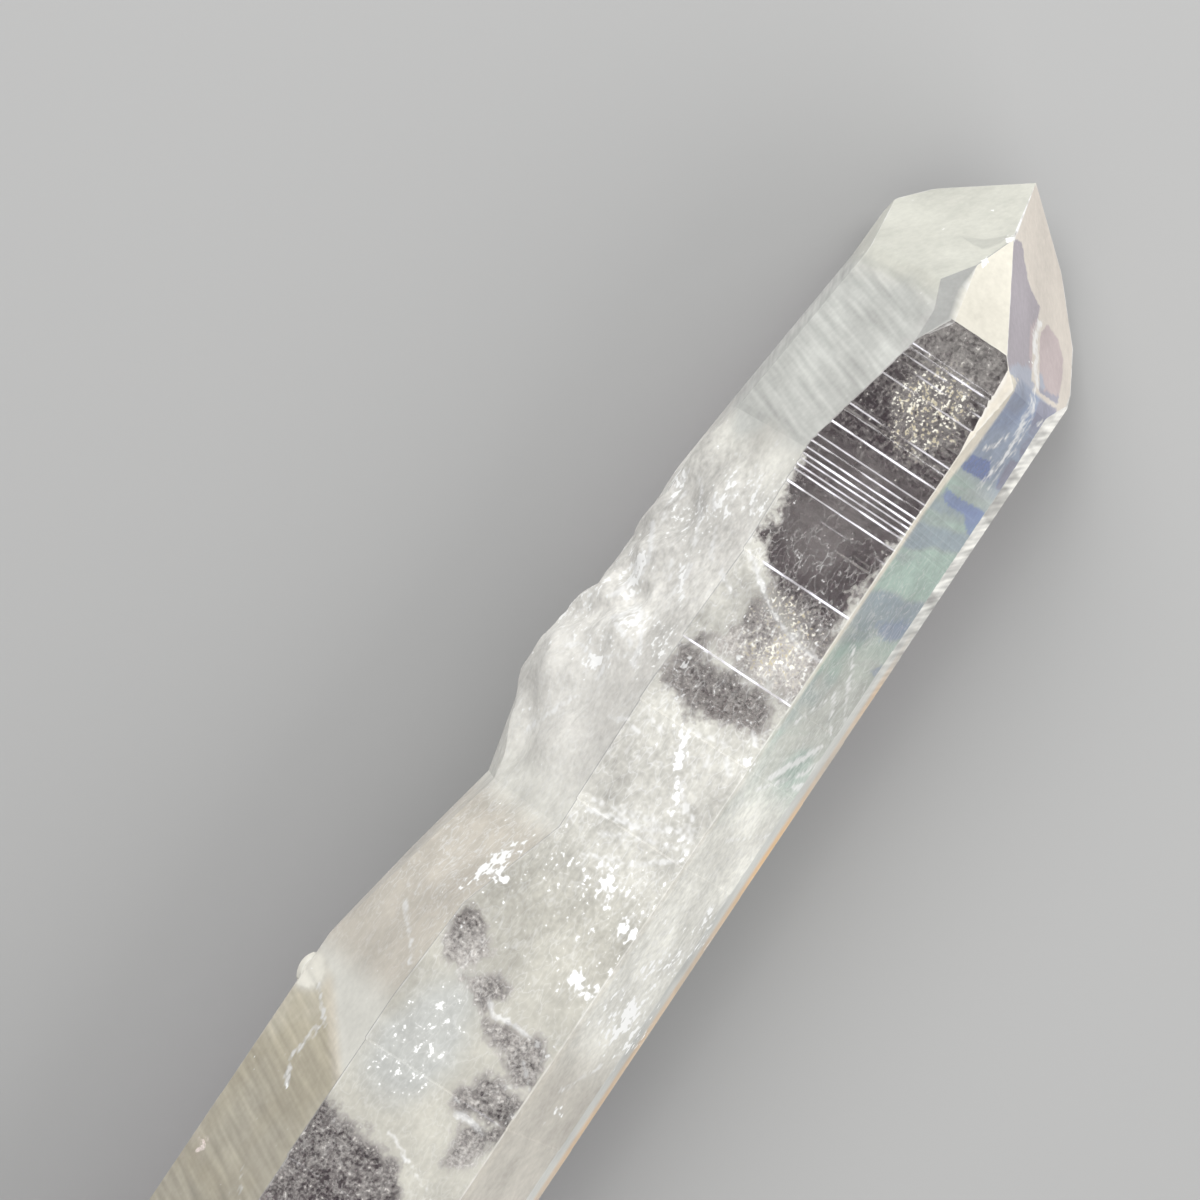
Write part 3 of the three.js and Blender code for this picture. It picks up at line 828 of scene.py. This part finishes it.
def paintRight(paint, at):
    # Pink at the point, then blue and green in slanting stripes, beige at the foot, and cream along the seam.
    depth, panel, wander = at.depth, at.panel, at.wander
    slanted = np.stack([at.across * 0.15, depth + 0.46 * at.across + 0.35 * wander, 0 * depth], -1)
    stripes = layeredNoise(slanted, 1.4, 95)
    blue = panel * ramp(depth, 24, 20.5)
    aqua = panel * ramp(depth, 20.5, 24) * ramp(depth + 3 * wander, 54, 37)
    dark = np.clip(0.6 * blue + 0.5 * aqua * ramp(depth, 41, 32), 0, 1) * ramp(stripes, -0.1, -0.55)
    paint.wash("pinkMilk", at.right - panel)
    paint.wash("blueMilk", blue)
    paint.wash("aquaMilk", aqua)
    paint.wash("seaGreen", aqua * ramp(stripes, -0.15, 0.4) * 0.9)
    paint.wash("deepBlue", dark * 0.45)
    paint.wash("arcShadeAndPanelGrey", panel * within(depth, 36, 48, 3) * ramp(wander, -0.3, 0.3) * 0.7)
    paint.wash("beigeMilk", panel * ramp(depth, 70, 77) * 0.55)
    paint.fill(panel > 0, np.clip(0.70 + 0.1 * wander + 0.16 * within(depth, 46, 72, 5), 0, 0.92))
    seam = np.interp(depth, [13.6, 20.3, 22.7, 26, 34, 46], [6.9, 6.7, 6.4, 6.15, 6.05, 5.95])
    cream = np.maximum(onFaces(at, "rightSliver"), panel * ramp(at.across, seam + 0.12, seam - 0.12))
    cream = cream * (1 - 0.75 * ramp(depth, 34, 50))
    paint.wash("creamMilk", cream)
    paint.fill(cream > 0.5, 0.8)


def paintRim(paint, at):
    # The narrow face at the right: white beads at the top, greyer below, with rust along its outer half.
    depth, rim = at.depth, at.rim
    beads = valueNoise(np.stack([0 * depth, depth, 0 * depth], -1), 0.75, 93)
    rusty = rim * ramp(at.share, 0.45, 0.75) * within(depth + 2 * at.wander, 36, 112, 4)
    paint.wash("bulgeMilk", rim)
    paint.wash("greyMilk", rim * ramp(depth, 24, 40) * 0.8)
    paint.wash("orangeMilk", rusty * (0.75 + 0.35 * at.drift))
    paint.shade(1 + rim * ramp(depth, 36, 30) * 0.32 * np.clip(2.2 * beads, -1, 0.35))
    paint.fill(rim > 0, 0.80 + 0.15 * at.wander)


def paintBackAndBase(paint, at):
    paint.fill(at.under > 0, 0.62 + 0.15 * at.wander)
    paint.milk = paint.milk * (1 - at.broken) + 0.72 * at.broken
    paint.milk = np.maximum(paint.milk, 0.92 * at.nub)
    paint.wash("nubMilk", at.nub)


def paintGrain(paint, at):
    # A cloudy grain over everything, strongest on the shoulder. It returns how strong it is.
    depth = at.depth
    shoulder = 0.3 + 0.7 * within(depth, 29, 47, 3) + 0.25 * within(depth, 47, 62, 3)
    grain = np.where(at.window > 0, 0.5 + 0.4 * within(depth, 30, 68, 4), 0.30)
    grain = np.where(at.left > 0, shoulder, grain)
    grain = np.where(at.panel > 0, 0.45 + 0.4 * within(depth, 46, 74, 4), grain)
    paint.milk = paint.milk + 0.10 * at.drift + 0.10 * at.cloud * grain
    paint.shade(0.99 + 0.12 * at.cloud * grain + 0.02 * at.jagged * grain)
    return grain


def ledgeShine(at, inside):
    # Painted highlight on the step of each growth ledge, in broken stretches and only where the face is
    # clear.
    shine = np.zeros(len(at.depth))
    for start, _, strength in ledges:
        onStep = (at.depth > start - 0.01) & (at.depth < start + crystal["ledgeRun"] + 0.01)
        shine = np.maximum(shine, strength * onStep)
    breaks = layeredNoise(shellPlaces * np.array([1, 6, 1]), 2.4, 97)
    shine = shine * (0.15 + 0.45 * ramp(shine, 0.75, 0.9) + 0.85 * ramp(breaks, -0.4, 0.4))
    return shine * at.window * ramp(inside, -1.0, -0.2)


def edgeLight(at):
    # Painted highlights in beads along the edges between faces, partly white wear, brightest round the apex.
    depth, border = at.depth, at.share == 0
    bead = ramp(valueNoise(shellPlaces, 0.55, 99), -0.45, 0.35)
    dimmed = 0.8 * onFaces(at, "leftBack", "rest") + 0.85 * onFaces(at, "leftFront") * (depth > 13)
    edge = border * (1 - at.broken) * (1 - at.wedge) * np.where(depth < 14, 0.8, 0.5) * (1 - dimmed)
    edge = edge + 0.4 * onFaces(at, "rightBack") * border
    apex = onFaces(at, "rightFront") * (at.share < 0.02) + onFaces(at, "leftFront") * (at.share > 0.98)
    apex = (apex + onFaces(at, "window", "leftSliver")) * (depth < 5.35)
    return np.maximum(edge, apex) * (0.25 + 0.75 * bead)


def crackMaps(at):
    # How far inside a bright patch, partly white fracture and partly painted glint, each point is, and how
    # near to a fine light line.
    across, depth = at.across, at.depth
    patches, lines = np.full(len(depth), -2.0), np.zeros(len(depth))
    for middleAcross, middleDepth, halfAcross, halfDepth, slant, strength in whitePatchesAndGlints:
        distance = blob(across, depth, middleAcross, middleDepth, halfAcross, halfDepth, slant)
        patches = np.maximum(patches, distance / min(halfAcross, halfDepth) * 0.6 - (1 - strength) * 0.8)
    patches = np.where(at.under > 0, -2, patches)
    for points, strength in lightLines:
        lines = np.maximum(lines, strength * (1 - fromSegments(across, depth, points) / lineReach))
    return patches, np.where(at.window + at.left + at.right + at.wedge > 0, lines, 0)


def innerFacesAndShadow(at, tint):
    # How far inside a patch of another inner face, the painted shadow among them, each point is, and the
    # colour that it has there.
    facet, facetTint = np.full(len(at.depth), -2.0), tint.copy()
    for colour, faceName, cover, crisp, corners in facetAndShadowPatches:
        inner = np.where(at.owner == faceNumber[faceName], insideOutline(at.across, at.depth, corners), -2)
        near = inner > -0.9
        facetTint[near] = tint[near] * (1 - cover) + np.array(quartzLook[colour]) * cover
        facet = np.maximum(facet, inner * crisp)
    return facet, facetTint * (1 + 0.08 * at.drift + 0.05 * at.wander)[:, None]


def speckMaps(at, veiled):
    # Sugary specks in clear parts, flecks in milky ones that are painted glints, gold specks below the
    # ledges, and a thin haze.
    across, depth, window = at.across, at.depth, at.window
    sugar = window * (0.30 * within(depth, 13, 24.5, 1) + 0.12)
    sugar = sugar + window * (0.5 * within(depth, 35.7, 43.3, 0.5) + 0.35 * within(depth, 43.4, 50, 1))
    sugar = sugar + 0.55 * window * ramp(depth, 66, 69) + 0.4 * at.under
    flecks = at.left * (0.50 * within(depth, 29, 49, 3) + 0.15 * within(depth, 49, 60, 2))
    flecks = flecks + 0.36 * window * within(depth, 31, 62, 6)
    flecks = flecks * (0.25 + 1.0 * ramp(at.drift + 0.4 * at.wander, -0.2, 0.35))
    flecks = flecks + 0.62 * at.frosty + 0.38 * (window + at.panel) * within(depth, 60, 72, 3)
    flecks = flecks + 0.10 * at.left
    gold = np.maximum(blob(across, depth, 2.3, 19.6, 3.6, 4.4), blob(across, depth, 2.2, 37.9, 4.0, 2.2))
    gold = np.maximum(gold, blob(across, depth, 2.9, 40.9, 3.2, 2.4)) * 0.42
    gold = gold + 0.22 * at.jagged + 0.12 * at.drift
    haze = 0.02 + 0.12 * ramp(at.drift, -0.1, 0.7)
    haze = haze + window * (0.2 * within(depth, 13, 17, 1) + 0.18 * ramp(gold, 0, 0.7))
    haze = haze + window * (0.06 * within(depth, 36, 39, 0.7) + 0.16 * within(depth, 43.4, 50, 1))
    haze = haze + window * veiled * (0.30 + 0.3 * at.cloud)
    haze = haze + window * ramp(depth, 66, 70) * (0.14 + 0.2 * at.cloud + 0.16 * ramp(depth, 87, 84))
    return sugar, flecks, window * gold, haze


def fibreMaps(at):
    # Combed lines in the clear parts, long strands in the milky ones, and tangled fibres round the fan.
    depth, window = at.depth, at.window
    fold = ramp(blob(at.across, depth, -2.7, 45.3, 1.2, 1.7), 0, 0.5)
    combed = window * np.maximum(0.45 * within(depth, 14, 33, 1), fold)
    strands = np.clip(at.left * within(depth, 12.5, 27, 1) + at.band, 0, 1) + 3 * at.rim * ramp(depth, 44, 28)
    tangle = window * (1 - 0.5 * ramp(depth, 58, 64)) + 0.6 * at.left + 0.7 * at.panel
    fibrous = within(depth, 29, 72, 5) * tangle + 0.4 * at.sloped + 0.35 * window * within(depth, 70, 95, 3)
    return combed, strands, fibrous


def surfaceMaps():
    # Values and colours at each point of the shell, which the shader below turns into fine patterns. Signed
    # distances are packed round 0.5.
    at = shellView()
    inside, veiled = clearParts(at)
    paint = Paint(len(at.depth))
    for layer in (paintWindow, paintLeft, paintRight, paintRim, paintBackAndBase):
        layer(paint, at)
    grain = paintGrain(paint, at)
    patches, lines = crackMaps(at)
    facet, facetTint = innerFacesAndShadow(at, paint.tint)
    sugar, flecks, gold, haze = speckMaps(at, veiled)
    combed, strands, fibrous = fibreMaps(at)
    shares = {
        "inside": 0.5 + inside / 6, "patches": 0.5 + patches / 4, "facet": 0.5 + facet / 4, "lines": lines,
        "milk": paint.milk, "haze": haze, "frost": 0.03 + 0.22 * at.broken + 0.05 * at.under, "sugar": sugar,
        "flecks": flecks, "gold": gold, "fibrous": fibrous, "lumpy": at.bulge + 0.4 * at.sloped,
    }
    maps = {name: np.clip(values, 0, 1) for name, values in shares.items()}
    maps.update(shine=ledgeShine(at, inside), edge=edgeLight(at), grain=grain, combed=combed, strands=strands)
    return maps, np.clip(paint.tint, 0, 1), np.clip(facetTint, 0, 1)


def ridge(noise, low, high):
    # Thin lines where a noise crosses its middle value.
    return (1 - abs(noise - 0.5) * 2).ramp(low, high)


def quartzPatterns(finish):
    # The noises that the whole material draws on, from fibres along the crystal down to fine specks.
    look = quartzLook
    place = finish.objectPlace()
    x, y, z = finish.parts(place)
    oblique = finish.joined((x * 0.5 + z * 0.866) * 0.1, y + x * 0.115 + z * 0.2, 0.0)
    return SimpleNamespace(
        fibre=finish.noise(place, look["fibres"], 2, 0.62, (1.25, 0.55, 1.25)),
        hair=finish.noise(place, look["hairs"], 1, 0.55, (1.4, 0.45, 1.4)),
        speck=finish.noise(place, look["specks"], 1, 0.6),
        coarse=finish.noise(place, look["specks"] * 0.5, 1, 0.62, (1, 0.75, 1)),
        strand=finish.noise(oblique, look["strands"], 1, 0.6),
        comb=finish.noise(place, look["specks"] * 0.7, 0, 0.5, (0.015, 1.0, 0.015)),
    )


def clearHaze(value, noise, goldFlecks):
    # How milky a clear part still is: haze with specks, combed lines, thin fibres, sugar grains and gold.
    fine = noise.speck * 0.55 + noise.coarse * 0.45 - 0.5
    combs = noise.comb.ramp(0.58, 0.74) * value.combed * noise.fibre.ramp(0.3, 0.65) * 0.7
    haze = (value.haze + fine * value.sugar * 2.4).atLeast(combs) + ridge(noise.fibre, 0.965, 1.0) * 0.12
    haze = haze.atLeast((fine - (0.2 - value.sugar * 0.12)).ramp(0.0, 0.04) * 0.8)
    return haze.atLeast(goldFlecks * 0.75)


def flawsAndGlints(value, noise):
    # White flecks that are painted glints, fracture patches that are partly painted glints, tangled filaments
    # and healed cracks with painted glints among them, whichever is the strongest.
    mottle = noise.coarse * 0.4 + noise.speck * 0.25 + noise.hair * 0.35
    # painted glints: white flecks
    flecks = (mottle - (0.70 - value.flecks * 0.23)).ramp(0.0, 0.04)
    frayed = (noise.fibre - 0.5) * 2.6 + (noise.coarse - 0.5) * 2.6
    patches = ((value.patches - 0.5) * 4 + frayed).ramp(0.0, 0.25)
    filaments = ridge(noise.fibre, 0.955, 0.995) * 0.45 + ridge(noise.hair, 0.94, 0.99) * 0.35
    cracks = (value.lines + (noise.hair - 0.5) * 0.8 + (noise.coarse - 0.5) * 0.7).ramp(0.56, 0.86)
    return flecks.atLeast(patches).atLeast(filaments * value.fibrous).atLeast(cracks * 0.8).clamp()


def quartzFinish():
    # Clear quartz and milky quartz under the same polish, mixed by a share that the surface maps and the
    # noises give together.
    maps, tint, facetTint = surfaceMaps()
    addValues(shell, **maps)
    addColours(shell, tint=tint, facetTint=facetTint)
    look = quartzLook
    finish = Finish("quartz")
    noise = quartzPatterns(finish)
    value = SimpleNamespace(**{name: finish.value(name) for name in maps})
    fibre, speck, coarse, strand = noise.fibre, noise.speck, noise.coarse, noise.strand

    # where the quartz is clear, with borders that the noises fray
    distance = (value.inside - 0.5) * 6 + (coarse - 0.5) * 2.4 + (speck - 0.5) * 1.2 + (fibre - 0.5) * 2.0
    window = distance.ramp(-0.6, 0.5)
    milky = value.milk + (coarse - 0.5) * 0.3 * value.grain + (strand - 0.5) * value.strands * 0.3
    goldFlecks = (speck - 0.62 + value.gold * 0.1 + (coarse - 0.5) * 0.3).ramp(0.0, 0.07)
    goldFlecks = goldFlecks * (value.gold * 1.8).clamp()
    flawWhiteAndHighlight = flawsAndGlints(value, noise)
    shine = (value.shine * (0.45 + fibre * 1.1)).clamp()
    share = milky * (1 - window) + clearHaze(value, noise, goldFlecks) * window
    share = share.atLeast(flawWhiteAndHighlight * (1 - window * 0.4)).atLeast(shine).atLeast(value.edge).clamp()

    # colour of the milky quartz
    shade = 1.0 + ((coarse - 0.5) * 0.32 + (speck - 0.5) * 0.2) * value.grain
    shade = shade + (strand - 0.5) * value.strands * 0.35 + (fibre - 0.5) * value.fibrous * 0.3
    facet = ((value.facet - 0.5) * 4 + (coarse - 0.5) * 0.3).ramp(-0.06, 0.06)
    colour = finish.mixColour(facet, finish.colour("tint"), finish.colour("facetTint"))
    colour = finish.scaled(colour, shade)
    colour = finish.mixColour(window * (1 - goldFlecks), colour, look["fleckTan"])
    gold = finish.mixColour(noise.hair.ramp(0.44, 0.56), look["goldSpeck"], look["goldLight"])
    colour = finish.mixColour(goldFlecks * window, colour, gold)
    # white flaws, painted glints and painted edge highlights
    colour = finish.mixColour(flawWhiteAndHighlight.atLeast(value.edge).clamp(), colour, look["flawWhiteAndHighlight"])
    # painted highlight: white lines on the ledge steps
    colour = finish.mixColour(shine, colour, look["ledgeHighlightWhite"])
    facing = finish.add("ShaderNodeLayerWeight", None, {"Blend": 0.5}, out="Facing")
    # painted rim light: the colour turns whiter towards grazing views
    colour = finish.mixColour(facing.ramp(0.62, 0.95) * 0.15, colour, look["flawWhiteAndHighlight"])

    height = coarse * (0.05 + value.lumpy * 0.35)
    bump = finish.add("ShaderNodeBump", None, {"Strength": 0.6, "Distance": 0.0003, "Height": height})
    clear = finish.add("ShaderNodeBsdfPrincipled", None, {
        "Base Color": look["clear"], "Roughness": value.frost, "IOR": look["quartzIor"],
        "Transmission Weight": 1.0, "Normal": bump,
    })
    milk = finish.add("ShaderNodeBsdfPrincipled", None, {
        "Base Color": colour, "Roughness": 0.5, "IOR": look["quartzIor"], "Specular IOR Level": 0.0,
        "Normal": bump, "Coat Weight": 1 - facing.ramp(0.6, 0.85) * 0.85, "Coat Roughness": 0.1,
        "Coat IOR": look["quartzIor"],
    })
    surface = finish.add("ShaderNodeMixShader", None, {0: share, 1: clear, 2: milk})
    # painted shade: absorption darkens the clear parts as dark surroundings seen through them would
    volume = finish.add("ShaderNodeVolumeAbsorption", None, {
        "Color": look["shadeSeenThrough"], "Density": look["shadeSeenThroughDensity"],
    })
    return finish.done(surface, volume)


shell.data.materials.append(quartzFinish())
shell.data.set_sharp_from_angle(angle=24 * degree)
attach(shell, "root")
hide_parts("crystal")
print("stage: quartz finish")

# The camera looks down on the crystal so that its apex, its lean and its size are those of the photo.
camera = {
    "frameSize": 1200,
    "apexPixel": (1036, 183),
    "lean": 33.4,
    "pixelsPerMm": 13.2,
    "distance": 420,
    "sensor": 36,
}


def placeCamera():
    turn, lean = crystal["photoTurn"] * degree, camera["lean"] * degree
    across = Vector((math.cos(turn), 0, math.sin(turn)))
    along = Vector((0, 1, 0))
    right = math.cos(lean) * across + math.sin(lean) * along
    up = -math.sin(lean) * across + math.cos(lean) * along
    back = right.cross(up)
    half = camera["frameSize"] / 2
    pixelX, pixelY = camera["apexPixel"]
    apex = Vector(apexPlace)
    centre = apex - (right * (pixelX - half) + up * (half - pixelY)) / camera["pixelsPerMm"]
    data = bpy.data.cameras.new("camera")
    data.sensor_width = camera["sensor"]
    data.lens = camera["sensor"] * camera["distance"] / (camera["frameSize"] / camera["pixelsPerMm"])
    data.clip_start, data.clip_end = 0.01, 5
    item = bpy.data.objects.new("camera", data)
    rotation = Matrix((right, up, back)).transposed().to_4x4()
    item.matrix_world = Matrix.Translation((centre + back * camera["distance"]) * mm) @ rotation
    bpy.context.scene.collection.objects.link(item)
    bpy.context.scene.camera = item


placeCamera()

studio = {
    "floorColour": (0.37, 0.37, 0.365, 1),
    "floorGap": 0.03,
    "floorReach": 2.0,
    "worldColour": (0.46, 0.46, 0.47, 1),
    "worldStrength": 1.0,
    "bounces": {"max": 6, "transmission": 5, "diffuse": 1, "glossy": 2, "volume": 0},
    # name, place, what it shines at, width, height and power of each light
    "lights": [
        ("key", (-0.30, 0.24, 0.42), (0, 0, 0), 0.34, 0.34, 2.3),
        ("tipStrip", (0.05, 0.50, 0.34), (0, 0.02, 0), 0.6, 0.2, 1.4),
        ("fill", (0.5, -0.05, 0.32), (0, 0, 0), 0.8, 0.5, 2.6),
    ],
}


def buildFloor():
    reach, height = studio["floorReach"], -studio["floorGap"] * mm
    corners = [(x * reach, y * reach, height) for x, y in [(-1, -1), (1, -1), (1, 1), (-1, 1)]]
    mesh = bpy.data.meshes.new("floor")
    mesh.from_pydata(corners, [], [(0, 1, 2, 3)])
    floor = bpy.data.objects.new("floor", mesh)
    bpy.context.scene.collection.objects.link(floor)
    finish = Finish("floor")
    surface = finish.add("ShaderNodeBsdfPrincipled", None, {
        "Base Color": studio["floorColour"], "Roughness": 0.7, "Specular IOR Level": 0.2,
    })
    floor.data.materials.append(finish.done(surface))


def areaLight(name, place, target, width, height, power):
    data = bpy.data.lights.new(name, "AREA")
    data.shape = "RECTANGLE"
    data.size, data.size_y, data.energy = width, height, power
    item = bpy.data.objects.new(name, data)
    item.location = place
    item.rotation_euler = (Vector(target) - Vector(place)).to_track_quat("-Z", "Y").to_euler()
    bpy.context.scene.collection.objects.link(item)


def buildStudio():
    world = bpy.data.worlds.new("studio")
    world.use_nodes = True
    background = world.node_tree.nodes["Background"]
    background.inputs["Color"].default_value = studio["worldColour"]
    background.inputs["Strength"].default_value = studio["worldStrength"]
    bpy.context.scene.world = world
    bpy.context.scene.view_settings.view_transform = "Standard"
    for kind, count in studio["bounces"].items():
        setattr(bpy.context.scene.cycles, kind + "_bounces", count)
    for light in studio["lights"]:
        areaLight(*light)


buildFloor()
buildStudio()
print("stage: camera, floor and lights")
